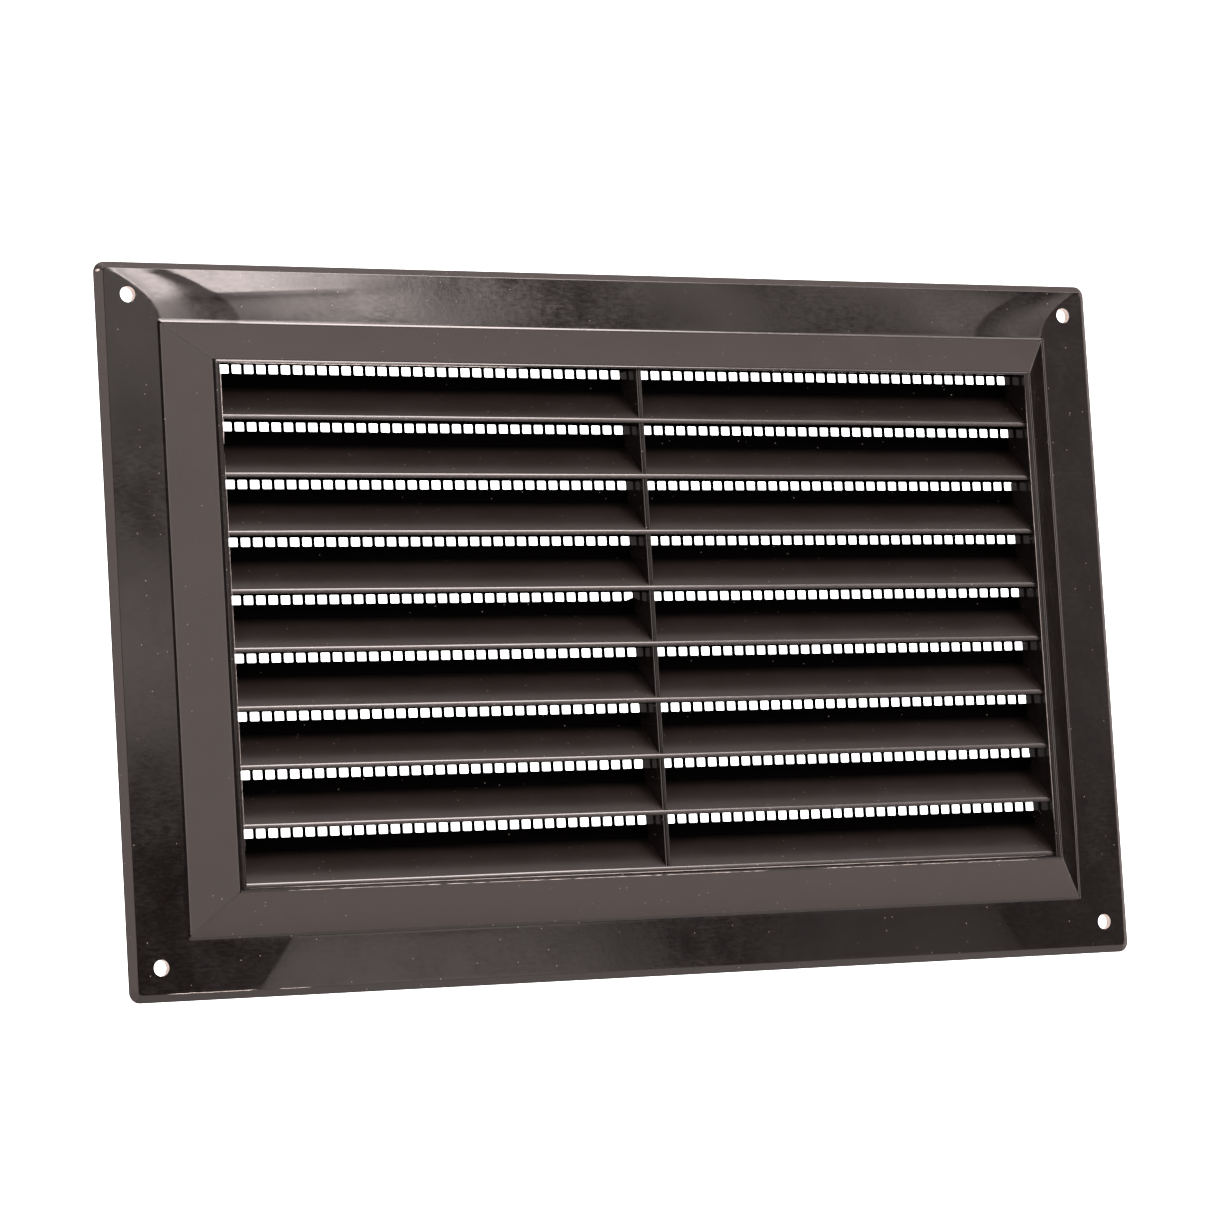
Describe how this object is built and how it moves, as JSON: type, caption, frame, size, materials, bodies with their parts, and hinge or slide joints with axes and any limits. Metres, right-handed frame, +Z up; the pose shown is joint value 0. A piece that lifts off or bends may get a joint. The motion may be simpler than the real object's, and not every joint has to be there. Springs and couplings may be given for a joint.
{
  "type": "louvre vent",
  "caption": "Fixed louvre vent in dark brown moulded plastic: a flanged, bevelled frame with sloped slats, a centre rib, corner screw holes and a fly screen behind.",
  "frame": {"origin": "the middle of the four screw holes, in the plane of the wall that the rim's back meets", "axes": "+X across the vent, +Z up, +Y into the wall, so the front looks along -Y"},
  "size_m": [0.2616, 0.01, 0.164],
  "materials": {
    "brown_plastic": "moulded, satin gloss",
    "screen_plastic": "moulded, satin gloss"
  },
  "bodies": {
    "root": {"louvre_grille": "brown_plastic", "fly_screen": "screen_plastic"}
  },
  "joints": []
}
